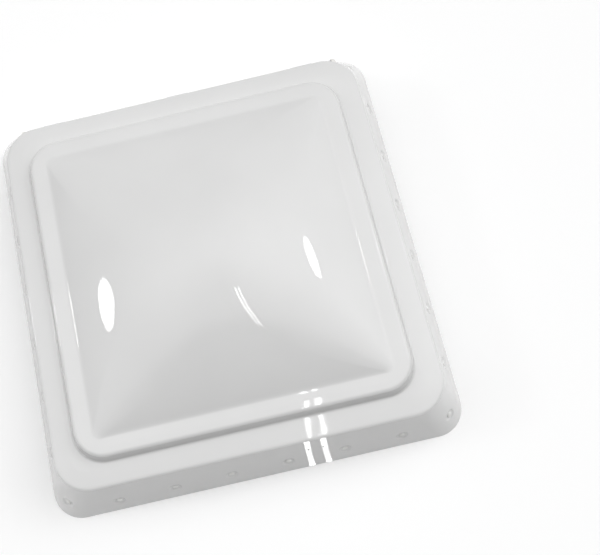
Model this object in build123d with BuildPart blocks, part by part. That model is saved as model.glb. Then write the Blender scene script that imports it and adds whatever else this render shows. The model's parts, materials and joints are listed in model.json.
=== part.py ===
"""Lift-up roof vent cover: a moulded pyramid-dome lid, its riveted inner frame, weather seal,
hinge at the rear edge, and the sliding lift shoe at the front edge.

Millimetres. +Z is up, +Y points to the hinge edge, +X to the right along the front edge.
The origin is on the rim plane, under the middle of the lid's own box.
"""

import math
import os

from build123d import *

os.makedirs("parts", exist_ok=True)

# ---- driving dimensions of the moulded lid -------------------------------------------------
wall = 2.5
rim_half = 208.5
rim_rear = 214.0  # the rim reaches further back on the hinge edge
rim_radius = 29.5
knee_level = 36.0  # the skirt is a little steeper above this level
knee_half = 190.4
knee_rear = 193.4
knee_radius = 31.5
neck_level = 60.0  # the skirt meets the underside of the lip here
neck_half = 182.0
neck_radius = 31.0
lip_half = 185.0
lip_radius = 33.6
lip_roll = 4.5
ledge_level = 64.6
riser_foot_half = 161.2
riser_top_half = 157.0
riser_foot_radius = 30.0
riser_top_radius = 27.0
riser_roll = 2.4
deck_level = 76.0
dome_half = 140.2
dome_rise = 38.0
dome_power = 1.75  # 1 is a straight-sided pyramid, 2 a parabolic crown
dome_steps = (1.0, 0.86, 0.7, 0.52, 0.34, 0.16)  # sizes of the crown's sections, foot to top
foot_rounding = 0.05  # corner radius of the crown's foot, as a share of its half width
top_rounding = 0.72

# ---- rivet line ---------------------------------------------------------------------------
rivet_level = 18.6
rivet_pitch = 56.1
rivets_per_side = 6
rivet_hole_r = 1.7
shank_r = 1.6
head_r = 3.1
head_height = 1.1
head_taper = 38.0
tail_r = 2.5
tail_height = 1.4
tail_taper = 20.0
dimple_r = 5.5
dimple_depth = 1.0

# ---- inner frame and seal -------------------------------------------------------------------
rail_low = 12.0
rail_high = 26.0
rail_thickness = 2.0
rail_end = 152.0
bracket_start = 154.0
seal_outer = 176.5
seal_inner = 166.5
seal_radius = 26.0
seal_thickness = 6.0
seal_gap = 0.3
seal_edge = 1.5

# ---- hinge ----------------------------------------------------------------------------------
recess_half = 181.0  # half width of the flat recess in the rear skirt
recess_foot = 199.0
recess_lean = (recess_foot - neck_half) / neck_level
ear_pitch = 35.5
ear_thickness = 3.5
ear_r = 4.0
pin_r = 3.0
pin_y = 211.0
pin_z = 4.8
pin_fit = 0.03
plate_low = 9.0
plate_high = 28.0
plate_thickness = 3.0
plate_half = 180.5
fin_reach = 214.5
fin_low = 3.0
fin_nose = 6.0
gusset_reach = 24.0
gusset_thickness = 2.2
knuckle_gauge = 1.7  # the tongues and the knuckles rolled from them
knuckle_gap = 3.2
tongue_offset = 142.0
knuckle_clearance = 0.08
knuckle_half = 12.0
passage_half = 15.0  # openings in the skirt for the tongues
passage_height = 6.6
flange_y = 180.0
flange_half = 162.0
flange_top = 27.0
flange_thickness = 2.0
flange_radius = 4.0
screw_r = 2.2
screw_levels = (9.0, 20.0)
peg_x = 16.0
peg_z = 13.0
peg_r = 3.0
peg_inside = 9.0
peg_head_r = 4.6
peg_head_height = 1.3
peg_fit = 0.1
clip_thickness = 1.6
clip_length = 24.0
clip_width = 8.0
clip_fit = 0.05
clip_play = 0.1

# ---- lift track -----------------------------------------------------------------------------
track_half = 42.0
track_tab = 15.0
track_gauge = 1.6
track_front = 155.5
track_depth = 13.0
track_height = 17.0
track_slot = 8.0
boss_height = 6.0
boss_r = 4.8
boss_place = track_half + track_tab / 2
screw_shank_r = 1.9
screw_head_r = 3.9
screw_head_height = 2.4
screw_bite = 0.3  # how much smaller the boss's hole is than the screw
drive_span = 4.2
drive_width = 0.9
drive_depth = 1.3
shoe_half = 12.0
shoe_clearance = 0.25
shoe_flange = 1.8
shoe_stand = 1.2  # the flange runs this far in front of the track
arm_pin_r = 3.0
arm_pin_length = 14.0
arm_pin_root = 7.0
arm_pin_head_r = 4.5
arm_pin_head_height = 1.2
weep_spacing = 14.0
weep_level = 33.0
weep_r = 1.1

# The origin is under the middle of the whole assembly, knuckles included.
knuckle_inner = pin_r + knuckle_clearance
knuckle_outer = knuckle_inner + knuckle_gauge
box_shift = (rim_half - pin_y - knuckle_outer) / 2


def blend(low, high, share):
    """Value a share of the way from low to high."""
    return low + (high - low) * share


def skirt(level, inset=0.0):
    """Outline of the skirt at a level, drawn in by inset: level, half width, rear reach, corner radius."""
    if level <= knee_level:
        share = level / knee_level
        sizes = (rim_half, knee_half), (rim_rear, knee_rear), (rim_radius, knee_radius)
    else:
        share = (level - knee_level) / (neck_level - knee_level)
        sizes = (knee_half, neck_half), (knee_rear, neck_half), (knee_radius, neck_radius)
    half, rear, radius = (blend(low, high, share) for low, high in sizes)
    return level, half - inset, rear - inset, radius - inset


def outline(level, half, rear, radius):
    """Face of a rounded square whose rear side may reach further than its front side."""
    with BuildSketch(Plane.XY.offset(level)) as face:
        with Locations((0, (rear - half) / 2)):
            RectangleRounded(2 * half, half + rear, radius)
    return face.sketch


def frustum(low, high, mode=Mode.ADD):
    """Straight-walled solid between two outlines."""
    loft([outline(*low), outline(*high)], ruled=True, mode=mode)


def dome(half, base, rise):
    """Four-sided crown: square with sharp hips at its foot, round at its top."""
    sections = []
    for share in dome_steps:
        size = half * share
        level = base + rise * (1 - share**dome_power)
        sections.append(outline(level, size, size, size * blend(top_rounding, foot_rounding, share)))
    loft(sections)


def wedge(foot_y, half):
    """Everything behind the leaning plane of the hinge recess, up to the neck."""
    with BuildSketch(Plane.YZ) as side:
        with BuildLine():
            Polyline(
                (foot_y + recess_lean * 2, -2),
                (foot_y - recess_lean * neck_level, neck_level),
                (rim_rear + 20, neck_level),
                (rim_rear + 20, -2),
                close=True,
            )
        make_face()
    extrude(side.sketch, amount=half, both=True, mode=Mode.SUBTRACT)


def wall_plane(x, y, turn, lean):
    """Plane on an outside wall at the rivet level; its Z points out of the wall. turn is the
    compass angle of the wall, and lean its run per unit of height."""
    outward = Vector(math.cos(math.radians(turn)), math.sin(math.radians(turn)), lean).normalized()
    along = Vector(-math.sin(math.radians(turn)), math.cos(math.radians(turn)), 0)
    return Plane(origin=(x, y, rivet_level), x_dir=along, z_dir=outward)


flare = (rim_half - knee_half) / knee_level
normal_share = math.sqrt(1 + flare**2)
wall_run = wall * normal_share
rail_run = rail_thickness * normal_share
rivet_half = skirt(rivet_level)[1]
rivet_rear = skirt(rivet_level)[2]
rivet_corner_radius = skirt(rivet_level)[3]
rivet_places = [(i - (rivets_per_side - 1) / 2) * rivet_pitch for i in range(rivets_per_side)]
front_planes = [wall_plane(x, -rivet_half, 270, flare) for x in rivet_places]
right_planes = [wall_plane(rivet_half, y, 0, flare) for y in rivet_places]
left_planes = [wall_plane(-rivet_half, y, 180, flare) for y in rivet_places]


def corner_plane(side_x, side_y):
    """Rivet plane in the middle of a rounded corner."""
    reach = rivet_rear if side_y > 0 else rivet_half
    diagonal = rivet_corner_radius * math.sqrt(0.5)
    x = side_x * (rivet_half - rivet_corner_radius + diagonal)
    y = side_y * (reach - rivet_corner_radius + diagonal)
    turn = math.degrees(math.atan2(side_y, side_x))
    rounding = (knee_radius - rim_radius) / knee_level
    lean = flare * math.sqrt(2) + rounding * (math.sqrt(2) - 1)
    return wall_plane(x, y, turn, lean)


corner_signs = {
    "front_left": (-1, -1),
    "front_right": (1, -1),
    "rear_left": (-1, 1),
    "rear_right": (1, 1),
}
corner_planes = [corner_plane(*signs) for signs in corner_signs.values()]
plate_run = plate_thickness * math.hypot(1, recess_lean)
plate_face = recess_foot - recess_lean * rivet_level + plate_run
rear_planes = [wall_plane(x, plate_face, 90, recess_lean) for x in rivet_places]
peg_plane = Plane(
    origin=(peg_x, recess_foot - recess_lean * peg_z + plate_run, peg_z),
    x_dir=(1, 0, 0),
    z_dir=(0, 1, recess_lean),
)
track_middle = -(track_front - track_depth / 2)
ear_places = [side * step * ear_pitch for side in (-1, 1) for step in (1, 3, 5)]
fin_places = [-2 * ear_pitch, 2 * ear_pitch]
bar_centres = {
    "hinge_bar_left": -4 * ear_pitch,
    "hinge_bar_centre": 0.0,
    "hinge_bar_right": 4 * ear_pitch,
}
rib_places = [side * step * ear_pitch for side in (-1, 1) for step in (1, 2, 3)]
tongue_places = (-tongue_offset, 0.0, tongue_offset)


def finish(built, name, color):
    """Label a finished piece, move it to the common origin and write its file."""
    piece = built.part.moved(Location((0, box_shift, 0)))
    piece.label = name
    piece.color = Color(*color)
    export_step(piece, f"parts/{name}.step")


rib_foot = 38.0
rib_profile = [
    (recess_foot - recess_lean * rib_foot - 1, rib_foot),
    (neck_half - 4, 54),
    (neck_half - 4, ledge_level - 1),
    (neck_half - 1, ledge_level - 1),
    (recess_foot - recess_lean * neck_level - 1, neck_level),
]

white = (0.86, 0.86, 0.85)
steel = (0.62, 0.63, 0.65)
aluminium = (0.76, 0.77, 0.78)
nylon = (0.9, 0.9, 0.86)
foam = (0.12, 0.12, 0.13)

# ---- dome shell -----------------------------------------------------------------------------
with BuildPart() as outer_form:
    frustum(skirt(0), skirt(knee_level))
    frustum(skirt(knee_level), skirt(neck_level))
    wedge(recess_foot, recess_half)
    extrude(outline(neck_level, lip_half, lip_half, lip_radius), amount=ledge_level - neck_level)
    fillet(edges().group_by(Axis.Z)[-1], lip_roll)
    riser_foot = (ledge_level - 1, riser_foot_half, riser_foot_half, riser_foot_radius)
    riser_top = (deck_level, riser_top_half, riser_top_half, riser_top_radius)
    frustum(riser_foot, riser_top)
    fillet(edges().group_by(Axis.Z)[-1], riser_roll)
    dome(dome_half, deck_level, dome_rise)

with BuildPart() as inner_form:
    frustum(skirt(0, wall_run), skirt(knee_level, wall_run))
    frustum(skirt(knee_level, wall_run), skirt(neck_level, wall_run))
    wedge(recess_foot - wall, recess_half + wall)
    neck_inside = outline(*skirt(neck_level, wall_run))
    extrude(neck_inside, amount=ledge_level - wall - neck_level)
    foot_inside = riser_foot_half - wall
    top_inside = riser_top_half - wall
    inner_foot = (ledge_level - wall - 1, foot_inside, foot_inside, riser_foot_radius - wall)
    inner_top = (deck_level - wall, top_inside, top_inside, riser_top_radius - wall)
    frustum(inner_foot, inner_top)
    dome(dome_half - wall, deck_level - wall, dome_rise)

with BuildPart() as dome_shell:
    add(outer_form.part)
    add(inner_form.part, mode=Mode.SUBTRACT)
    # Stiffening ribs under the ledge, in line with the hinge ears and fins.
    for place in rib_places:
        with BuildSketch(Plane.YZ.offset(place)):
            with BuildLine():
                Polyline(*rib_profile, close=True)
            make_face()
        extrude(amount=ear_thickness / 2, both=True)
    # Passages for the three tongues of the hinge leaf, and the hole for the clip's peg.
    for place in tongue_places:
        with BuildSketch(Plane.XZ.offset(-recess_foot + 10)):
            with Locations((place, passage_height / 2 - 1)):
                Rectangle(2 * passage_half, passage_height + 2)
        extrude(amount=-12, mode=Mode.SUBTRACT)
    with Locations(peg_plane):
        Hole(peg_r + peg_fit, depth=12)
    # Bosses that the lift track is screwed to.
    for side in (-1, 1):
        with BuildSketch(Plane.XY.offset(deck_level - wall - boss_height)):
            with Locations((side * boss_place, track_middle)):
                Circle(boss_r)
                Circle(screw_shank_r - screw_bite, mode=Mode.SUBTRACT)
        extrude(amount=boss_height + 0.5)
    with Locations(*front_planes, *left_planes, *right_planes, *corner_planes):
        CounterBoreHole(rivet_hole_r, dimple_r, dimple_depth, depth=8)
    with Locations(*rear_planes):
        Hole(rivet_hole_r, depth=10)
    # Two weep holes between the fourth and fifth rivets of the front edge.
    for side in (-1, 1):
        with BuildSketch(Plane.XZ.offset(rim_half)):
            with Locations((rivet_pitch + side * weep_spacing / 2, weep_level)):
                Circle(weep_r)
        extrude(amount=-30, mode=Mode.SUBTRACT)
finish(dome_shell, "dome_shell", white)

# ---- inner frame: three rails and four corner brackets, riveted inside the skirt --------------


def inner_ring(low, high, start, thickness_run):
    """Thin ring that lies on the inside of the skirt between two levels."""
    frustum(skirt(low, start), skirt(high, start))
    frustum(skirt(low, start + thickness_run), skirt(high, start + thickness_run), Mode.SUBTRACT)


def drill_rivets(planes):
    """Rivet holes through whatever lies behind the outside wall."""
    with Locations(*planes):
        Hole(rivet_hole_r, depth=16)


with BuildPart() as rail_ring:
    inner_ring(rail_low, rail_high, wall_run, rail_run)
    drill_rivets(front_planes + left_planes + right_planes + corner_planes)

frame_box = 80.0  # larger than the band the frame lies in
rail_boxes = {
    "front_rail": ((0, -rivet_half, 0), (2 * rail_end, frame_box)),
    "left_rail": ((-rivet_half, 0, 0), (frame_box, 2 * rail_end)),
    "right_rail": ((rivet_half, 0, 0), (frame_box, 2 * rail_end)),
}
for name, (centre, size) in rail_boxes.items():
    with BuildPart() as rail:
        add(rail_ring.part)
        with Locations(centre):
            Box(size[0], size[1], frame_box, mode=Mode.INTERSECT)
    finish(rail, name, aluminium)

for name, (side_x, side_y) in corner_signs.items():
    rear_start = recess_half + wall + 1.0  # clear of the recess's end wall
    start_x = rear_start if side_y > 0 else bracket_start
    with BuildPart() as bracket:
        add(rail_ring.part)
        centre_x = side_x * (start_x + frame_box / 2)
        centre_y = side_y * (bracket_start + frame_box / 2)
        with Locations((centre_x, centre_y, 0)):
            Box(frame_box, frame_box, frame_box, mode=Mode.INTERSECT)
    finish(bracket, f"corner_bracket_{name}", aluminium)

# ---- weather seal: four mitred foam strips under the outer ledge -----------------------------
seal_top = ledge_level - wall
for name, turn in {"front": 270, "rear": 90, "left": 180, "right": 0}.items():
    with BuildPart() as seal:
        with BuildSketch(Plane.XY.offset(seal_top - seal_thickness)):
            RectangleRounded(2 * seal_outer, 2 * seal_outer, seal_radius)
            inner_radius = seal_radius - (seal_outer - seal_inner)
            RectangleRounded(2 * seal_inner, 2 * seal_inner, inner_radius, mode=Mode.SUBTRACT)
            with BuildLine(Plane.XY.rotated((0, 0, turn))):
                Polyline((seal_gap, 0), (250, 250 - seal_gap), (250, seal_gap - 250), close=True)
            make_face(mode=Mode.INTERSECT)
        extrude(amount=seal_thickness)
        fillet(edges().group_by(Axis.Z)[0], seal_edge)
    finish(seal, f"seal_{name}", foam)

# ---- hinge rail: backing plate, ears, fins and gussets on the outside of the recess -----------


def plate_y(level, out=0.0):
    """Place of the recess's outer face at a level, moved outwards."""
    return recess_foot - recess_lean * level + out


with BuildPart() as hinge_rail:
    with BuildSketch(Plane.YZ):
        with BuildLine():
            Polyline(
                (plate_y(plate_low), plate_low),
                (plate_y(plate_low, plate_run), plate_low),
                (plate_y(plate_high, plate_run), plate_high),
                (plate_y(plate_high), plate_high),
                close=True,
            )
        make_face()
    extrude(amount=plate_half, both=True)
    for place in ear_places:
        with BuildSketch(Plane.YZ.offset(place)):
            with BuildLine():
                Polyline(
                    (plate_y(plate_low, 1), plate_low),
                    (plate_y(plate_low, 4), 2.0),
                    (pin_y, pin_z - ear_r),
                    (pin_y + ear_r * 0.7, pin_z + ear_r * 0.7),
                    (plate_y(plate_high, 2), plate_high),
                    (plate_y(plate_high, 1), plate_high),
                    close=True,
                )
            make_face()
            with Locations((pin_y, pin_z)):
                Circle(ear_r)
                Circle(pin_r + pin_fit, mode=Mode.SUBTRACT)
        extrude(amount=ear_thickness / 2, both=True)
    for place in fin_places:
        with BuildSketch(Plane.YZ.offset(place)):
            with BuildLine():
                Polyline(
                    (plate_y(plate_low, 1), plate_low),
                    (plate_y(plate_low, 4), fin_low),
                    (fin_reach, fin_low),
                    (fin_reach, fin_nose),
                    (plate_y(plate_high, 2), plate_high),
                    (plate_y(plate_high, 1), plate_high),
                    close=True,
                )
            make_face()
        extrude(amount=ear_thickness / 2 - 0.5, both=True)
    # Flat gussets brace the outer side of each pair of ears.
    for place in ear_places:
        nearest_bar = min(bar_centres.values(), key=lambda centre: abs(place - centre))
        outward = math.copysign(1, place - nearest_bar)
        reach = min(gusset_reach, plate_half - outward * place)
        root = place + outward * (ear_thickness / 2 - 1)
        with BuildSketch(Plane.XY.offset(plate_low)):
            with BuildLine():
                Polyline(
                    (root, plate_y(plate_low, 1)),
                    (root, pin_y - 1),
                    (place + outward * reach, plate_y(plate_low, 1)),
                    close=True,
                )
            make_face()
        extrude(amount=gusset_thickness)
    with Locations(*rear_planes):
        Hole(rivet_hole_r, depth=10)
    with Locations(peg_plane):
        Hole(peg_r + peg_fit, depth=10)
finish(hinge_rail, "hinge_rail", white)

# ---- hinge bars -------------------------------------------------------------------------------
bar_half = ear_pitch + ear_thickness / 2 + 0.6
for name, centre in bar_centres.items():
    with BuildPart() as bar:
        with BuildSketch(Plane.YZ.offset(centre)):
            with Locations((pin_y, pin_z)):
                Circle(pin_r)
        extrude(amount=bar_half, both=True)
        chamfer(edges().filter_by(GeomType.CIRCLE), 0.5)
    finish(bar, name, steel)

# ---- hinge leaf: flange that screws to the vent's upstand, with three rolled knuckles ----------
tongue_bottom = pin_z - knuckle_outer
with BuildPart() as hinge_leaf:
    with BuildSketch(Plane.XZ.offset(-flange_y)):
        with Locations((0, flange_top / 2)):
            RectangleRounded(2 * flange_half, flange_top, flange_radius)
    extrude(amount=-flange_thickness)
    for place in tongue_places:
        with BuildSketch(Plane.YZ.offset(place)):
            with Locations(((flange_y + pin_y) / 2, tongue_bottom + knuckle_gauge / 2)):
                Rectangle(pin_y - flange_y, knuckle_gauge)
            with Locations((pin_y, pin_z)):
                Circle(knuckle_outer)
                Circle(knuckle_inner, mode=Mode.SUBTRACT)
            with Locations((pin_y - knuckle_outer, pin_z)):
                Rectangle(2 * knuckle_gauge + 2, knuckle_gap, mode=Mode.SUBTRACT)
        extrude(amount=knuckle_half, both=True)
    with BuildSketch(Plane.XZ.offset(-flange_y)):
        for place in tongue_places:
            for level in screw_levels:
                with Locations((place, level)):
                    Circle(screw_r)
    extrude(amount=-flange_thickness, mode=Mode.SUBTRACT)
finish(hinge_leaf, "hinge_leaf", steel)

# ---- turn clip and its peg, in the middle loop -------------------------------------------------
with BuildPart() as clip_peg:
    peg_root = plate_thickness + wall + peg_inside
    with BuildSketch(peg_plane.offset(-peg_root)):
        Circle(peg_r)
    extrude(amount=peg_root + clip_thickness + 2 * clip_play)
    with BuildSketch(peg_plane.offset(clip_thickness + 2 * clip_play)):
        Circle(peg_head_r)
    extrude(amount=peg_head_height)
    chamfer(edges().filter_by(GeomType.CIRCLE).sort_by(Axis.Y)[-1], 0.4)
finish(clip_peg, "clip_peg", white)

with BuildPart() as turn_clip:
    with BuildSketch(peg_plane.offset(clip_play)):
        with Locations((-clip_length / 2, 0)):
            SlotCenterToCenter(clip_length, clip_width)
        Circle(peg_head_r + 1)
        Circle(peg_r + clip_fit, mode=Mode.SUBTRACT)
    extrude(amount=clip_thickness)
finish(turn_clip, "turn_clip", steel)

# ---- lift track, sliding shoe and the pin that the crank arm turns on ----------------------------
track_top = deck_level - wall - boss_height
track_bottom = track_top - track_height
slot_level = (track_top + track_bottom) / 2
with BuildPart() as lift_track:
    with BuildSketch(Plane.YZ):
        with Locations((track_middle, slot_level)):
            Rectangle(track_depth, track_height)
            hollow = (track_depth - 2 * track_gauge, track_height - 2 * track_gauge)
            Rectangle(*hollow, mode=Mode.SUBTRACT)
        with Locations((track_middle + track_depth / 2, slot_level)):
            Rectangle(2 * track_gauge + 1, track_slot, mode=Mode.SUBTRACT)
    extrude(amount=track_half, both=True)
    # The top web runs on at both ends as screw tabs, and a bent tab closes each end.
    with BuildSketch(Plane.XY.offset(track_top - track_gauge)):
        with Locations((0, track_middle)):
            RectangleRounded(2 * (track_half + track_tab), track_depth, 3)
            with Locations((-boss_place, 0), (boss_place, 0)):
                Circle(screw_shank_r + 0.2, mode=Mode.SUBTRACT)
    extrude(amount=track_gauge)
    with Locations(
        (-track_half + track_gauge / 2, track_middle, slot_level),
        (track_half - track_gauge / 2, track_middle, slot_level),
    ):
        Box(track_gauge, track_depth, track_height)
finish(lift_track, "lift_track", steel)

with BuildPart() as track_screws:
    with BuildSketch(Plane.XY.offset(track_top - track_gauge)):
        with Locations((-boss_place, track_middle), (boss_place, track_middle)):
            Circle(screw_head_r)
    extrude(amount=-screw_head_height)
    fillet(edges().group_by(Axis.Z)[0], 1.2)
    with BuildSketch(Plane.XY.offset(track_top - track_gauge - screw_head_height)):
        with Locations((-boss_place, track_middle), (boss_place, track_middle)):
            Rectangle(drive_span, drive_width)
            Rectangle(drive_width, drive_span)
    extrude(amount=drive_depth, mode=Mode.SUBTRACT)
    with BuildSketch(Plane.XY.offset(track_top - track_gauge)):
        with Locations((-boss_place, track_middle), (boss_place, track_middle)):
            Circle(screw_shank_r - screw_bite)
    extrude(amount=track_gauge + boss_height - 0.5)
finish(track_screws, "track_screws", steel)

shoe_depth = track_depth - 2 * track_gauge - 2 * shoe_clearance
shoe_height = track_height - 2 * track_gauge - 2 * shoe_clearance
shoe_face = track_middle + track_depth / 2
with BuildPart() as slider_shoe:
    with Locations((0, track_middle, slot_level)):
        Box(2 * shoe_half, shoe_depth, shoe_height)
    fillet(edges().filter_by(Axis.Y), 1.5)
    with Locations((0, shoe_face, slot_level)):
        Box(2 * shoe_half - 4, 6, track_slot - 2 * shoe_clearance)
    with BuildSketch(Plane.XZ.offset(-shoe_face - shoe_stand)):
        with Locations((0, slot_level)):
            RectangleRounded(2 * shoe_half, shoe_height - 2, 2.5)
    extrude(amount=-shoe_flange)
    with Locations(Plane(origin=(0, shoe_face + 4, slot_level), z_dir=(0, 1, 0))):
        Hole(arm_pin_r + pin_fit, depth=12)
finish(slider_shoe, "slider_shoe", nylon)

with BuildPart() as arm_pin:
    with BuildSketch(Plane.XZ.offset(-shoe_face + arm_pin_root)):
        with Locations((0, slot_level)):
            Circle(arm_pin_r)
    extrude(amount=-(arm_pin_root + shoe_stand + shoe_flange + arm_pin_length))
    with BuildSketch(Plane.XZ.offset(-shoe_face - shoe_stand - shoe_flange)):
        with Locations((0, slot_level)):
            Circle(arm_pin_head_r)
    extrude(amount=-arm_pin_head_height)
    chamfer(edges().filter_by(GeomType.CIRCLE).sort_by(Axis.Y)[-1], 0.8)
finish(arm_pin, "arm_pin", steel)

# ---- rivets -----------------------------------------------------------------------------------


def rivet(plane, grip, sink):
    """Domed rivet on an outside wall: its head sits sink below the surface."""
    seat = plane.offset(-sink)
    with BuildSketch(seat) as head:
        Circle(head_r)
    extrude(head.sketch, amount=head_height, taper=head_taper)
    with BuildSketch(seat) as shank:
        Circle(shank_r)
    extrude(shank.sketch, amount=-grip - 0.2)
    with BuildSketch(seat.offset(-grip)) as tail:
        Circle(tail_r)
    extrude(tail.sketch, amount=-tail_height, taper=tail_taper)


frame_grip = wall + rail_thickness - dimple_depth
rivet_rows = {
    "front_rivets": (front_planes, frame_grip, dimple_depth),
    "left_rivets": (left_planes, frame_grip, dimple_depth),
    "right_rivets": (right_planes, frame_grip, dimple_depth),
    "corner_rivets": (corner_planes, frame_grip, dimple_depth),
    "rear_rivets": (rear_planes, wall + plate_thickness, 0.0),
}
for name, (planes, grip, sink) in rivet_rows.items():
    with BuildPart() as rivets:
        for plane in planes:
            rivet(plane, grip, sink)
    finish(rivets, name, aluminium)
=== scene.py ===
"""Looks of the roof vent cover: the moulded lid, its rivets, materials, studio light and camera.

Sizes are in millimetres in the lid's own frame, with the dome's middle at X = Y = 0 and Z up from
the rim, and become metres in the shared frame as meshes are made.
"""

import json
import math

import bmesh
import bpy
from mathutils import Matrix, Vector


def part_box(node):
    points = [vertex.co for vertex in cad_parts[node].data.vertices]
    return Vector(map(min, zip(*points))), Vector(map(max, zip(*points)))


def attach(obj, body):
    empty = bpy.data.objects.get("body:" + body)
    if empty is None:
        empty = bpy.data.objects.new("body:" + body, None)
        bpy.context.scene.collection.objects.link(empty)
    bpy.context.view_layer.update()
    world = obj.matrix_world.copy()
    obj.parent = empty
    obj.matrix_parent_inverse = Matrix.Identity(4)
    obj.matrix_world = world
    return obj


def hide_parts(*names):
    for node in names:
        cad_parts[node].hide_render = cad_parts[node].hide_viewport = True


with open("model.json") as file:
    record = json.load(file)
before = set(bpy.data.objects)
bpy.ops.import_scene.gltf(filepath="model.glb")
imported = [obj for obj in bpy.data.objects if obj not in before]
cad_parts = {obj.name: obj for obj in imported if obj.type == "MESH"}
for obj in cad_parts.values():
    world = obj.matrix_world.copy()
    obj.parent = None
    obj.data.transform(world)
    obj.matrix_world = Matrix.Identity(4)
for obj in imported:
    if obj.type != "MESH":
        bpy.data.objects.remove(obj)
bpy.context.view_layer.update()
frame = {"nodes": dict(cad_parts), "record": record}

MM = 0.001
shell_low, shell_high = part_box("dome_shell")

# ---- sizes of the moulded lid -----------------------------------------------------------------
wall = 2.5
rim_half = shell_high.x / MM
rim_rear = 214.0
rim_radius = 29.5
rim_edge = 0.9
knee_level = 36.0
knee_half = 190.4
knee_rear = 193.4
knee_radius = 31.5
knee_blend = 12.0  # height over which the two slopes of the skirt run into each other
neck_level = 60.0
neck_half = 182.0
neck_radius = 31.0
lip_half = 185.0
lip_radius = 33.6
lip_roll = 3.4
lip_turn = math.radians(78)  # how far round the lip's roll goes before the ledge takes over
lip_lift = 0.2  # height of the roll's first line over the neck
ledge_bow = 1.15  # 1 for a ledge as straight as a plank, more for one that steepens to the lip
lip_shoulder = 1.8  # how far the sloping ledge has dropped where the lip's roll begins
ledge_level = 64.6
riser_foot_half = 161.2
riser_foot_radius = 30.0
riser_top_half = 157.0
riser_top_radius = 27.0
riser_roll = 2.8
riser_lean = 1.4  # how far outside its top the riser is where its roll begins
riser_cove = 2.8
deck_level = 76.0
dome_half = 140.2
dome_top = shell_high.z / MM - 0.05
dome_power = 2.1
dome_cove = 3.0
apex_softness = 0.1  # keeps the crown smooth at its very top
foot_rounding = 0.05
top_rounding = 0.92
hip_sharpening = 2.0  # how late the hips sharpen on the way down
dome_bow = 6.0  # degrees that each end of a level line turns, near the top
recess_half = 181.0
recess_foot = 199.0
recess_lean = (recess_foot - neck_half) / neck_level
shift_y = shell_low.y / MM + rim_half  # the lid's middle, in the frame

# ---- rivets, weep holes, passages, ribs and bosses -----------------------------------------------
rivet_level = 18.6
rivet_pitch = 56.1
rivet_places = [(i - 2.5) * rivet_pitch for i in range(6)]
dimple_inner = 4.8
dimple_outer = 6.2
dimple_depth = 1.0
flare = (rim_half - knee_half) / knee_level
wall_run = wall * math.hypot(1, flare)
frame_thickness = 2.0
plate_thickness = 3.0
plate_run = plate_thickness * math.hypot(1, recess_lean)
weep_level = 33.0
weep_r = 1.1
weep_offset = 7.0  # each side of a rivet
weep_y = -192.0
peg_x = 16.0
peg_z = 13.0
peg_hole_r = 3.1
passage_places = (-142.0, 0.0, 142.0)
passage_half = 15.0
passage_front = 187.0
passage_rear = 203.0
passage_top = 6.6
boss_x = 49.5
boss_y = -149.0
boss_r = 4.8
boss_drop = 2.5  # of its middle, under the deck's inside
boss_half_length = 3.5
rib_half = 1.75
rib_foot = 38.0
rib_places = (-106.5, -71.0, -35.5, 35.5, 71.0, 106.5)
rib_top = ledge_level - lip_shoulder - 0.3  # inside the ledge, and under its lowest part


def blend(low, high, share):
    """Value a share of the way from low to high."""
    return low + (high - low) * share


def ease(share):
    """Smooth step from 0 to 1."""
    share = min(max(share, 0.0), 1.0)
    return share * share * (3 - 2 * share)


def bent(level, foot, knee, neck):
    """Size at a level of the skirt: two slopes with a rounded knee."""
    lower = (knee - foot) / knee_level
    upper = (neck - knee) / (neck_level - knee_level)
    run = level - knee_level
    if run <= -knee_blend:
        return knee + lower * run
    if run >= knee_blend:
        return knee + upper * run
    bow = (upper - lower) / (4 * knee_blend) * (run * run + knee_blend * knee_blend)
    return knee + (lower + upper) / 2 * run + bow


def skirt(level, inset=0.0):
    """Outline of the skirt at a level: level, half width, rear reach, corner radius, bow of the sides."""
    half = bent(level, rim_half, knee_half, neck_half)
    rear = bent(level, rim_rear, knee_rear, neck_half)
    radius = bent(level, rim_radius, knee_radius, neck_radius)
    return level, half - inset, rear - inset, radius - inset, 0.0


def even(level, half, radius, bow=0.0):
    """Outline that reaches as far at the rear as at the front."""
    return level, half, half, radius, bow


# ---- places of the mesh's columns: close together beside the rivets ------------------------------
near = (0.0, 1.5, 3.0, 4.0, 4.6, 5.1, 5.6, 6.1, 6.6, 7.6, 10.0)
near_both = sorted({side * step for side in (-1, 1) for step in near})
core_half = 154.0
core_share = 0.985  # most of a straight side that the columns may take up
core = sorted(place + step for place in rivet_places for step in near_both)
core = [-core_half] + core + [core_half]
turn_steps = [1.3 * i for i in range(11)] + [18.0, 24.0, 30.0, 36.0, 41.0]
corner_turns = sorted({45 + side * step for side in (-1, 1) for step in turn_steps})
inner_core = [core_half * (i / 12 - 1) for i in range(25)]
inner_turns = [9.0 * i for i in range(1, 10)]


def ring_points(outline, places, turns):
    """Points round a rounded square, anticlockwise from the front side's left end."""
    level, half, rear, radius, bow = outline
    if bow:
        return bowed_points(outline, places, turns)
    straight = half - radius
    rear_straight = rear - radius
    scale = min(1.0, core_share * straight / core_half)
    across = [-straight] + [place * scale for place in places] + [straight]
    along = [-straight] + [place * scale for place in places] + [rear_straight]
    points = [(x, -half) for x in across]
    points += corner_points(straight, -straight, radius, 270, turns)
    points += [(half, y) for y in along]
    points += corner_points(straight, rear_straight, radius, 0, turns)
    points += [(x, rear) for x in reversed(across)]
    points += corner_points(-straight, rear_straight, radius, 90, turns)
    points += [(-half, y) for y in reversed(along)]
    points += corner_points(-straight, -straight, radius, 180, turns)
    return [Vector((x, y, level)) for x, y in points]


def corner_points(x, y, radius, start, turns):
    """Points on a corner's arc, from start degrees on."""
    angles = [math.radians(start + turn) for turn in turns]
    return [(x + radius * math.cos(angle), y + radius * math.sin(angle)) for angle in angles]


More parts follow.
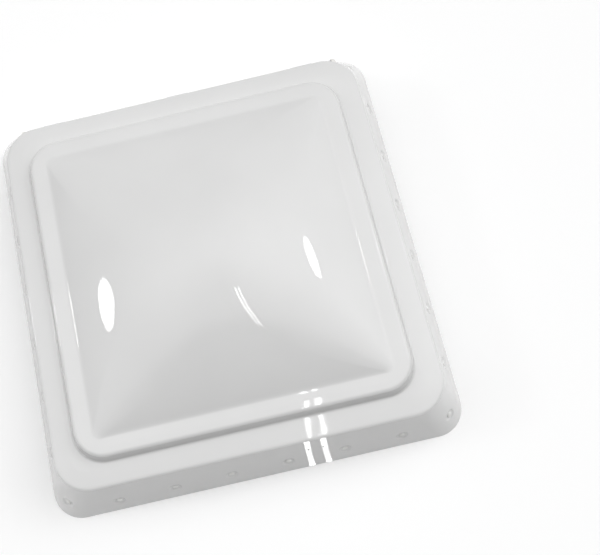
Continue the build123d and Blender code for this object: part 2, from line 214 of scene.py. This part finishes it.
def bowed_points(outline, places, turns):
    """Points round a square whose sides are arcs that turn by the bow, in radians, at each end."""
    level, half, _, radius, bow = outline
    lean = math.cos(bow) - math.sin(bow)
    side_radius = (half - radius * lean) / (1 - lean)
    straight = half - radius
    scale = min(1.0, core_share * straight / core_half)
    angles = [-bow] + [bow * place * scale / straight for place in places] + [bow]
    quarter = []
    for angle in angles:
        quarter.append((side_radius * math.sin(angle), side_radius * (1 - math.cos(angle)) - half))
    corner = (side_radius - radius) * math.sin(bow)
    for turn in turns:
        angle = blend(bow, math.pi / 2 - bow, turn / 90)
        quarter.append((corner + radius * math.sin(angle), -corner - radius * math.cos(angle)))
    points = []
    for i in range(4):
        points += quarter
        quarter = [(-y, x) for x, y in quarter]
    return [Vector((x, y, level)) for x, y in points]


def roll(outline, rise_by, inward, count, convex=True):
    """Outlines that lead from outline inwards and up, round a rolled edge or, if not convex, a cove."""
    level, half, rear, radius, bow = outline
    found = []
    for i in range(1, count + 1):
        angle = math.pi / 2 * i / count
        rise = math.sin(angle) if convex else 1 - math.cos(angle)
        run = 1 - math.cos(angle) if convex else math.sin(angle)
        step = inward * run
        tighter = max(radius - step, 1.0)
        found.append((level + rise_by * rise, half - step, rear - step, tighter, bow))
    return found


def dome_outline(share, half, base, top):
    """One level line of the crown: sharp hips at its foot, round at its top."""
    soft = apex_softness
    fall = (share**2 + soft**2) ** (dome_power / 2) - soft**dome_power
    whole = (1 + soft**2) ** (dome_power / 2) - soft**dome_power
    level = base + (top - base) * (1 - fall / whole)
    size = half * share
    radius = size * blend(top_rounding, foot_rounding, share**hip_sharpening)
    return even(level, size, radius, math.radians(dome_bow) * (1 - share * share))


def rivet_frames():
    """Place and outward direction of every rivet, by row."""
    level, half, rear, radius, _ = skirt(rivet_level)
    rows = {
        "front_rivets": [((x, -half), (0, -1)) for x in rivet_places],
        "right_rivets": [((half, y), (1, 0)) for y in rivet_places],
        "left_rivets": [((-half, y), (-1, 0)) for y in rivet_places],
    }
    frames = {}
    for name, row in rows.items():
        frames[name] = [(Vector((*at, level)), Vector((*out, flare)).normalized()) for at, out in row]
    diagonal = math.sqrt(0.5)
    rounding = (knee_radius - rim_radius) / knee_level
    corner_up = flare * math.sqrt(2) + rounding * (math.sqrt(2) - 1)
    corners = []
    for side_x in (-1, 1):
        for side_y in (-1, 1):
            reach = rear if side_y > 0 else half
            x = side_x * (half - radius + radius * diagonal)
            y = side_y * (reach - radius + radius * diagonal)
            out = Vector((side_x * diagonal, side_y * diagonal, corner_up)).normalized()
            corners.append((Vector((x, y, level)), out))
    frames["corner_rivets"] = corners
    plate_face = recess_foot - recess_lean * rivet_level + plate_run
    out = Vector((0, 1, recess_lean)).normalized()
    frames["rear_rivets"] = [(Vector((x, plate_face, level)), out) for x in rivet_places]
    return frames


rivets = rivet_frames()
dimples = [spot for name, row in rivets.items() if name != "rear_rivets" for spot in row]


def press_dimples(points):
    """Push the points near a rivet inwards, as the moulding does."""
    for point in points:
        for centre, out in dimples:
            offset = point - centre
            if offset.length > 2 * dimple_outer:
                continue
            depth = offset.dot(out)
            spread = (offset - out * depth).length
            share = ease((dimple_outer - spread) / (dimple_outer - dimple_inner))
            point -= out * (dimple_depth * share)
            break


def skin(rings, top):
    """Closed mesh through the rings, flat at the first and pointed at the last."""
    mesh = bmesh.new()
    rows = [[mesh.verts.new((point + Vector((0, shift_y, 0))) * MM) for point in ring] for ring in rings]
    for low, high in zip(rows, rows[1:]):
        count = len(low)
        for i in range(count):
            j = (i + 1) % count
            mesh.faces.new((low[i], low[j], high[j], high[i]))
    mesh.faces.new(list(reversed(rows[0])))
    apex = mesh.verts.new((Vector((0, shift_y, top)) * MM))
    last = rows[-1]
    for i in range(len(last)):
        mesh.faces.new((last[i], last[(i + 1) % len(last)], apex))
    bmesh.ops.recalc_face_normals(mesh, faces=mesh.faces)
    return mesh


def as_object(mesh, name):
    """Blender object from a bmesh."""
    data = bpy.data.meshes.new(name)
    mesh.to_mesh(data)
    mesh.free()
    made = bpy.data.objects.new(name, data)
    bpy.context.scene.collection.objects.link(made)
    return made


def lip_and_ledge():
    """The rolled lip, and the ledge that slopes gently down to it, as one curve."""
    top = ledge_level - lip_shoulder
    foot = neck_level + lip_lift
    found = []
    for i in range(10):
        angle = lip_turn * i / 9
        step = lip_roll * (1 - math.cos(angle))
        level = blend(foot, top, math.sin(angle) / math.sin(lip_turn))
        found.append(even(level, lip_half - step, lip_radius - step))
    last_half = found[-1][1]
    inner_half = riser_foot_half + riser_cove
    for i in range(1, 8):
        share = i / 8
        half = blend(last_half, inner_half, share)
        level = top + lip_shoulder * (1 - (1 - share) ** ledge_bow)
        found.append(even(level, half, lip_radius - (lip_half - half)))
    return found


def outer_outlines():
    """Outlines of the lid's outside, from the rim to the crown."""
    near_levels = sorted({rivet_level + side * step * 0.9 for side in (-1, 1) for step in near})
    levels = [rim_edge] + [level for level in near_levels if level > 2] + [32.0, 36.0, 40.0, 46.0, 54.0]
    found = [skirt(0.0, rim_edge)]
    found += [skirt(rim_edge * 0.3, rim_edge * 0.25)]
    found += [skirt(level) for level in sorted(levels)]
    found.append(skirt(neck_level))
    found.append(even(neck_level + 0.05, lip_half - 0.5, lip_radius - 0.5))
    found += lip_and_ledge()
    cove_start = even(ledge_level, riser_foot_half + riser_cove, riser_foot_radius + riser_cove)
    found.append(cove_start)
    found += roll(cove_start, riser_cove, riser_cove, 5, convex=False)
    roll_start = even(deck_level - riser_roll, riser_top_half + riser_lean, riser_top_radius + riser_lean)
    found.append(roll_start)
    found += roll(roll_start, riser_roll, riser_roll + riser_lean, 7)
    foot = dome_outline(1.0, dome_half, deck_level, dome_top)
    for reach, rise in ((2.0, 0.0), (1.0, 0.0), (0.5, 0.05), (0.2, 0.25)):
        out = reach * dome_cove
        found.append(even(deck_level + rise * 0.4, dome_half + out, foot[3] + out))
    shares = [0.99, 0.975] + [0.96 - 0.02 * i for i in range(47)] + [0.01]
    found += [dome_outline(share, dome_half, deck_level, dome_top) for share in shares]
    return found


def inner_outlines():
    """Outlines of the lid's inside."""
    found = [skirt(-1.0, wall_run)]
    levels = (4.0, 10.0, 18.0, 24.0, 28.0, 32.0, 36.0, 40.0, 44.0, 48.0, 56.0)
    found += [skirt(level, wall_run) for level in levels]
    ceiling = ledge_level - wall
    found.append(skirt(neck_level, wall_run))
    found.append(even(ceiling, neck_half - wall_run, neck_radius - wall_run))
    foot_half = riser_foot_half - wall
    found.append(even(ceiling, foot_half, riser_foot_radius - wall))
    top_half = riser_top_half - wall
    found.append(even(deck_level - wall, top_half, riser_top_radius - wall))
    inner_half = dome_half - wall
    shares = [1.0 - 0.04 * i for i in range(25)]
    found += [dome_outline(share, inner_half, deck_level - wall, dome_top - wall) for share in shares]
    return found


def box_tool(low, high):
    """Box between two corners, as a mesh to cut or join with."""
    mesh = bmesh.new()
    bmesh.ops.create_cube(mesh, size=1.0)
    low, high = Vector(low), Vector(high)
    for vert in mesh.verts:
        vert.co = Vector(blend(low[i], high[i], vert.co[i] + 0.5) for i in range(3))
        vert.co = (vert.co + Vector((0, shift_y, 0))) * MM
    return as_object(mesh, "tool")


def prism_tool(profile, low_x, high_x):
    """Prism along X over a profile of (y, z) points."""
    mesh = bmesh.new()
    ends = [[mesh.verts.new(Vector((x, y + shift_y, z)) * MM) for y, z in profile] for x in (low_x, high_x)]
    count = len(profile)
    for i in range(count):
        j = (i + 1) % count
        mesh.faces.new((ends[0][i], ends[0][j], ends[1][j], ends[1][i]))
    mesh.faces.new(ends[0])
    mesh.faces.new(ends[1])
    bmesh.ops.recalc_face_normals(mesh, faces=mesh.faces)
    return as_object(mesh, "tool")


def rod_tool(centre, direction, radius, half_length, segments=32):
    """Round rod, as a mesh to cut or join with."""
    mesh = bmesh.new()
    bmesh.ops.create_cone(
        mesh,
        cap_ends=True,
        segments=segments,
        radius1=radius * MM,
        radius2=radius * MM,
        depth=2 * half_length * MM,
    )
    turn = Vector((0, 0, 1)).rotation_difference(Vector(direction)).to_matrix().to_4x4()
    place = Matrix.Translation((Vector(centre) + Vector((0, shift_y, 0))) * MM)
    bmesh.ops.transform(mesh, matrix=place @ turn, verts=mesh.verts)
    return as_object(mesh, "tool")


def combine(target, tool, operation):
    """Cut tool from target, or join it on, and delete the tool."""
    step = target.modifiers.new("combine", "BOOLEAN")
    step.operation = operation
    step.object = tool
    step.solver = "MANIFOLD"
    graph = bpy.context.evaluated_depsgraph_get()
    result = bpy.data.meshes.new_from_object(target.evaluated_get(graph))
    target.modifiers.clear()
    target.data = result
    bpy.data.objects.remove(tool)


def recess_tool(foot_y, half):
    """Everything behind the leaning plane of the hinge recess, up to the neck."""
    profile = [
        (foot_y + recess_lean * 2, -2),
        (foot_y - recess_lean * neck_level, neck_level),
        (rim_rear + 20, neck_level),
        (rim_rear + 20, -2),
    ]
    return prism_tool(profile, -half, half)


def moulded_shell():
    """The lid as one closed shell."""
    rings = [ring_points(outline, core, corner_turns) for outline in outer_outlines()]
    for ring in rings:
        if ring[0].z < knee_level:
            press_dimples(ring)
    shell = as_object(skin(rings, dome_top), "moulded_lid")
    inner_rings = [ring_points(outline, inner_core, inner_turns) for outline in inner_outlines()]
    hollow = as_object(skin(inner_rings, dome_top - wall), "hollow")
    combine(hollow, recess_tool(recess_foot - wall, recess_half + wall), "DIFFERENCE")
    combine(shell, recess_tool(recess_foot, recess_half), "DIFFERENCE")
    combine(shell, hollow, "DIFFERENCE")
    rib_profile = [
        (recess_foot - recess_lean * rib_foot - 1, rib_foot),
        (neck_half - 4, 54.0),
        (neck_half - 4, rib_top),
        (neck_half - 1, rib_top),
        (recess_foot - recess_lean * neck_level - 1, neck_level),
    ]
    for place in rib_places:
        combine(shell, prism_tool(rib_profile, place - rib_half, place + rib_half), "UNION")
    for side in (-1, 1):
        middle = (side * boss_x, boss_y, deck_level - wall - boss_drop)
        boss = rod_tool(middle, (0, 0, 1), boss_r, boss_half_length)
        combine(shell, boss, "UNION")
    for place in passage_places:
        low = (place - passage_half, passage_front, -1.0)
        passage = box_tool(low, (place + passage_half, passage_rear, passage_top))
        combine(shell, passage, "DIFFERENCE")
    for side in (-1, 1):
        middle = (rivet_pitch + side * weep_offset, weep_y, weep_level)
        weep = rod_tool(middle, (0, 1, 0), weep_r, 12.0, 20)
        combine(shell, weep, "DIFFERENCE")
    peg_y = recess_foot - recess_lean * peg_z
    combine(shell, rod_tool((peg_x, peg_y, peg_z), (0, 1, recess_lean), peg_hole_r, 8.0), "DIFFERENCE")
    shell.data.shade_smooth()
    shell.data.set_sharp_from_angle(angle=math.radians(32))
    return shell


def rivet_set(name, row, grip, sink):
    """Rivets with a smooth low head, a shank and a set tail, turned from one profile."""
    profile = [(0.7, 1.16), (1.5, 1.1), (2.2, 0.94), (2.75, 0.66), (3.05, 0.3), (3.1, 0.0)]
    profile += [(1.6, 0.0), (1.6, -grip), (2.5, -grip)]
    profile += [(2.35, -grip - 0.9), (1.7, -grip - 1.4), (0.6, -grip - 1.5)]
    mesh = bmesh.new()
    segments = 32
    for centre, out in row:
        turn = Vector((0, 0, 1)).rotation_difference(out).to_matrix()
        seat = centre - out * sink + Vector((0, shift_y, 0))

        def corner(radius, height, i):
            angle = math.tau * i / segments
            local = Vector((radius * math.cos(angle), radius * math.sin(angle), height))
            return mesh.verts.new((seat + turn @ local) * MM)

        rows = [[corner(radius, height, i) for i in range(segments)] for radius, height in profile]
        for high, low in zip(rows, rows[1:]):
            for i in range(segments):
                j = (i + 1) % segments
                mesh.faces.new((high[i], low[i], low[j], high[j]))
        mesh.faces.new(rows[0])
        mesh.faces.new(list(reversed(rows[-1])))
    bmesh.ops.recalc_face_normals(mesh, faces=mesh.faces)
    made = as_object(mesh, name)
    made.data.shade_smooth()
    made.data.set_sharp_from_angle(angle=math.radians(40))
    return made


# ---- materials ---------------------------------------------------------------------------------------


class Finish:
    """A principled material with its node tree at hand."""

    def __init__(self, name, roughness, metallic=0.0):
        self.material = bpy.data.materials.new(name)
        self.material.use_nodes = True
        self.tree = self.material.node_tree
        self.shader = self.tree.nodes["Principled BSDF"]
        self.shader.inputs["Roughness"].default_value = roughness
        self.shader.inputs["Metallic"].default_value = metallic
        self.place = self.add("ShaderNodeTexCoord").outputs["Object"]

    def add(self, kind, **values):
        """New node, with its named inputs set."""
        node = self.tree.nodes.new(kind)
        for name, value in values.items():
            node.inputs[name.replace("_", " ")].default_value = value
        return node

    def link(self, output, target):
        self.tree.links.new(output, target)

    def noise(self, scale, detail=2.0, stretch=(1, 1, 1)):
        """Noise over the object's own coordinates, in metres, stretched along an axis if asked."""
        mapping = self.add("ShaderNodeMapping", Scale=stretch)
        self.link(self.place, mapping.inputs["Vector"])
        node = self.add("ShaderNodeTexNoise", Scale=scale, Detail=detail)
        self.link(mapping.outputs["Vector"], node.inputs["Vector"])
        return node.outputs["Fac"]

    def ramp(self, source, low, high):
        """Colour that runs from low to high with the source."""
        node = self.tree.nodes.new("ShaderNodeValToRGB")
        node.color_ramp.elements[0].position = 0.3
        node.color_ramp.elements[1].position = 0.7
        node.color_ramp.elements[0].color = (*low, 1)
        node.color_ramp.elements[1].color = (*high, 1)
        self.link(source, node.inputs["Fac"])
        return node.outputs["Color"]

    def colour(self, source, low, high):
        self.link(self.ramp(source, low, high), self.shader.inputs["Base Color"])

    def gloss(self, source, low, high):
        """Roughness that varies with the source."""
        node = self.add("ShaderNodeMapRange", To_Min=low, To_Max=high)
        self.link(source, node.inputs["Value"])
        self.link(node.outputs["Result"], self.shader.inputs["Roughness"])

    def bump(self, source, height, strength=1.0):
        """Small relief of a real height, in metres."""
        node = self.add("ShaderNodeBump", Distance=height, Strength=strength)
        self.link(source, node.inputs["Height"])
        self.link(node.outputs["Normal"], self.shader.inputs["Normal"])


def white_shell():
    finish = Finish("gloss_white_moulding", 0.03)
    finish.colour(finish.noise(14, 3), (0.675, 0.675, 0.673), (0.695, 0.695, 0.693))
    finish.gloss(finish.noise(60, 4), 0.022, 0.04)
    finish.bump(finish.noise(45, 1), 0.00006)
    finish.shader.inputs["IOR"].default_value = 1.49
    return finish.material


def hinge_plastic():
    finish = Finish("satin_white_moulding", 0.35)
    finish.colour(finish.noise(40, 3), (0.69, 0.68, 0.65), (0.73, 0.725, 0.7))
    finish.gloss(finish.noise(200, 4), 0.28, 0.42)
    finish.bump(finish.noise(900, 3), 0.00003)
    return finish.material


def frame_aluminium():
    finish = Finish("mill_aluminium", 0.38, 1.0)
    finish.colour(finish.noise(60, 4), (0.62, 0.63, 0.64), (0.74, 0.75, 0.76))
    finish.gloss(finish.noise(300, 5, (1, 1, 9)), 0.3, 0.5)
    finish.bump(finish.noise(700, 4, (1, 1, 9)), 0.00002)
    return finish.material


def seal_foam():
    finish = Finish("closed_cell_foam", 0.9)
    cells = finish.add("ShaderNodeTexVoronoi", Scale=900.0)
    finish.link(finish.place, cells.inputs["Vector"])
    finish.colour(finish.noise(120, 4), (0.025, 0.025, 0.028), (0.06, 0.06, 0.065))
    finish.bump(cells.outputs["Distance"], 0.0004, 0.7)
    return finish.material


def zinc_steel():
    finish = Finish("zinc_plated_steel", 0.35, 1.0)
    spangle = finish.add("ShaderNodeTexVoronoi", Scale=220.0)
    finish.link(finish.place, spangle.inputs["Vector"])
    finish.colour(spangle.outputs["Distance"], (0.57, 0.58, 0.6), (0.63, 0.64, 0.66))
    finish.gloss(finish.noise(250, 5), 0.26, 0.46)
    finish.bump(finish.noise(1200, 4), 0.00002)
    return finish.material


def spring_steel():
    finish = Finish("bare_spring_steel", 0.3, 1.0)
    finish.colour(finish.noise(90, 4), (0.32, 0.33, 0.35), (0.46, 0.47, 0.49))
    finish.gloss(finish.noise(500, 5, (0.15, 1, 1)), 0.22, 0.42)
    finish.bump(finish.noise(1500, 3, (0.15, 1, 1)), 0.00002)
    return finish.material


def nylon():
    finish = Finish("natural_nylon", 0.45)
    finish.colour(finish.noise(80, 3), (0.7, 0.68, 0.6), (0.78, 0.76, 0.69))
    finish.gloss(finish.noise(300, 4), 0.38, 0.55)
    finish.bump(finish.noise(1000, 3), 0.00003)
    return finish.material


def rivet_white():
    finish = Finish("white_painted_rivet", 0.22)
    finish.colour(finish.noise(220, 3), (0.7, 0.7, 0.69), (0.75, 0.75, 0.74))
    finish.gloss(finish.noise(400, 4), 0.16, 0.3)
    finish.bump(finish.noise(1500, 3), 0.00002)
    return finish.material


finishes = {
    "white_shell": white_shell(),
    "hinge_plastic": hinge_plastic(),
    "frame_aluminium": frame_aluminium(),
    "seal_foam": seal_foam(),
    "zinc_steel": zinc_steel(),
    "spring_steel": spring_steel(),
    "nylon": nylon(),
    "rivet_white": rivet_white(),
}


def paint(piece, slot_name):
    """Give a piece the finish of a record slot."""
    piece.data.materials.clear()
    piece.data.materials.append(finishes[slot_name])


for part in frame["record"]["subparts"]:
    node = frame["nodes"][part["node"]]
    paint(node, part["material_slot"])

# ---- pieces -------------------------------------------------------------------------------------------
lid = moulded_shell()
paint(lid, "white_shell")
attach(lid, "lid")
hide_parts("dome_shell")

frame_grip = wall + frame_thickness - dimple_depth
for name, row in rivets.items():
    rear = name == "rear_rivets"
    grip = wall + plate_thickness if rear else frame_grip
    sink = 0.0 if rear else dimple_depth
    heads = rivet_set("set_" + name, row, grip, sink)
    paint(heads, "rivet_white")
    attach(heads, "lid")
    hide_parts(name)

# ---- stage ---------------------------------------------------------------------------------------------


def floor():
    """Wide pale matt floor, a hair under the object."""
    mesh = bmesh.new()
    bmesh.ops.create_grid(mesh, x_segments=24, y_segments=24, size=40.0)
    made = as_object(mesh, "floor")
    made.location.z = -0.0002
    finish = Finish("pale_floor", 0.9)
    finish.colour(finish.noise(1.5, 2), (0.955, 0.955, 0.955), (0.965, 0.965, 0.965))
    finish.shader.inputs["Specular IOR Level"].default_value = 0.0
    made.data.materials.append(finish.material)


def softbox(name, place, target, width, height, power, upright, shape="RECTANGLE"):
    """Flat light that faces a target, with its height along the upright direction."""
    light = bpy.data.lights.new(name, "AREA")
    light.shape = shape
    light.size = width
    light.size_y = height
    light.energy = power
    made = bpy.data.objects.new(name, light)
    bpy.context.scene.collection.objects.link(made)
    made.location = place
    back = (Vector(place) - Vector(target)).normalized()
    side = Vector(upright).cross(back).normalized()
    made.rotation_euler = Matrix((side, back.cross(side), back)).transposed().to_euler()
    return made


# Places in the sky are the X or Y of a direction of length 1.
sky_strength = 0.09  # even light from all round
band_strength = 2.5
band_place = 0.16
band_width = 0.45
band_fade = 0.6  # how fast the band dims towards the horizon
band_tilt = 0.4  # how much brighter the band is far to the right than in the middle
ceiling_edge = -0.30  # where the band ends towards the front
ceiling_blur = 0.08
shade_size = 0.15  # dimmer patch straight overhead
shade_depth = 0.4
backdrop_strength = 0.93  # what the camera sees instead of the sky


def sky(world):
    """Soft sky light: a broad band overhead that ends towards the front and dims straight above.

    The camera sees an even pale backdrop in its place.
    """
    tree = world.node_tree
    background = tree.nodes["Background"]
    direction = tree.nodes.new("ShaderNodeTexCoord").outputs["Generated"]
    axes = tree.nodes.new("ShaderNodeSeparateXYZ")
    tree.links.new(direction, axes.inputs["Vector"])
    x, y, z = (axes.outputs[axis] for axis in "XYZ")

    def math_node(operation, first, second):
        node = tree.nodes.new("ShaderNodeMath")
        node.operation = operation
        for socket, value in zip(node.inputs, (first, second)):
            if isinstance(value, float):
                socket.default_value = value
            else:
                tree.links.new(value, socket)
        return node.outputs["Value"]

    scaled = math_node("DIVIDE", math_node("SUBTRACT", y, band_place), band_width)
    square = math_node("MULTIPLY", scaled, scaled)
    falling = math_node("POWER", math.e, math_node("MULTIPLY", square, -1.0))
    fade = math_node("POWER", math_node("MAXIMUM", z, 0.0), band_fade)
    band = math_node("MULTIPLY", math_node("MULTIPLY", falling, fade), band_strength)
    tilt = math_node("ADD", math_node("MULTIPLY", x, band_tilt), 1.0)
    edge = tree.nodes.new("ShaderNodeMapRange")
    edge.interpolation_type = "SMOOTHSTEP"
    edge.inputs["From Min"].default_value = ceiling_edge - ceiling_blur
    edge.inputs["From Max"].default_value = ceiling_edge + ceiling_blur
    tree.links.new(y, edge.inputs["Value"])
    off_zenith = math_node("ADD", math_node("MULTIPLY", x, x), math_node("MULTIPLY", y, y))
    spread = math_node("DIVIDE", off_zenith, -2.0 * shade_size * shade_size)
    shade = math_node("MULTIPLY", math_node("POWER", math.e, spread), shade_depth)
    lit = math_node("SUBTRACT", 1.0, shade)
    ceiling = math_node("MULTIPLY", math_node("MULTIPLY", band, edge.outputs["Result"]), lit)
    total = math_node("ADD", math_node("MULTIPLY", ceiling, tilt), sky_strength)
    rays = tree.nodes.new("ShaderNodeLightPath")
    backdrop = tree.nodes.new("ShaderNodeMix")
    backdrop.inputs["B"].default_value = backdrop_strength
    tree.links.new(rays.outputs["Is Camera Ray"], backdrop.inputs["Factor"])
    tree.links.new(total, backdrop.inputs["A"])
    tree.links.new(backdrop.outputs["Result"], background.inputs["Strength"])
    background.inputs["Color"].default_value = (1.0, 1.0, 1.0, 1)


floor()
world = bpy.data.worlds.new("studio")
world.use_nodes = True
bpy.context.scene.world = world
sky(world)

up, rearward = (0, 0, 1), (0, 1, 0)
lid_middle = (0, 0, 0.08)
softbox("left_window", (-1.545, 0.400, 1.165), lid_middle, 0.225, 0.26, 2.0, up, "ELLIPSE")
softbox("right_window", (1.325, 0.386, 1.435), lid_middle, 0.21, 0.13, 1.0, up, "ELLIPSE")

tube_y, tube_z = -0.45, 2.08
tube_width, tube_length, tube_power = 0.019, 0.70, 0.60
for name, x in (("front_tube_left", 0.138), ("front_tube_right", 0.187)):
    softbox(name, (x, tube_y, tube_z), lid_middle, tube_width, tube_length, tube_power, rearward)

# Two low lights in front of the skirt, which only reflections show.
glint_y, glint_z = -0.236, 0.001
glint_width, glint_length, glint_power = 0.0058, 0.06, 0.006
for name, x in (("floor_glint_left", 0.0505), ("floor_glint_right", 0.0675)):
    above = (x, glint_y, 1.0)
    glint = softbox(name, (x, glint_y, glint_z), above, glint_width, glint_length, glint_power, rearward)
    glint.visible_camera = False
    glint.visible_diffuse = False

camera_data = bpy.data.cameras.new("camera")
camera = bpy.data.objects.new("camera", camera_data)
bpy.context.scene.collection.objects.link(camera)
camera.location = (0.0265, -0.1882, 0.7267)
camera.rotation_euler = [math.radians(angle) for angle in (13.14, 3.80, -12.59)]
camera_data.lens = 42.5
camera_data.sensor_width = 36
camera_data.shift_x = 0.108
camera_data.shift_y = 0.007
bpy.context.scene.camera = camera
bpy.context.scene.view_settings.view_transform = "Standard"
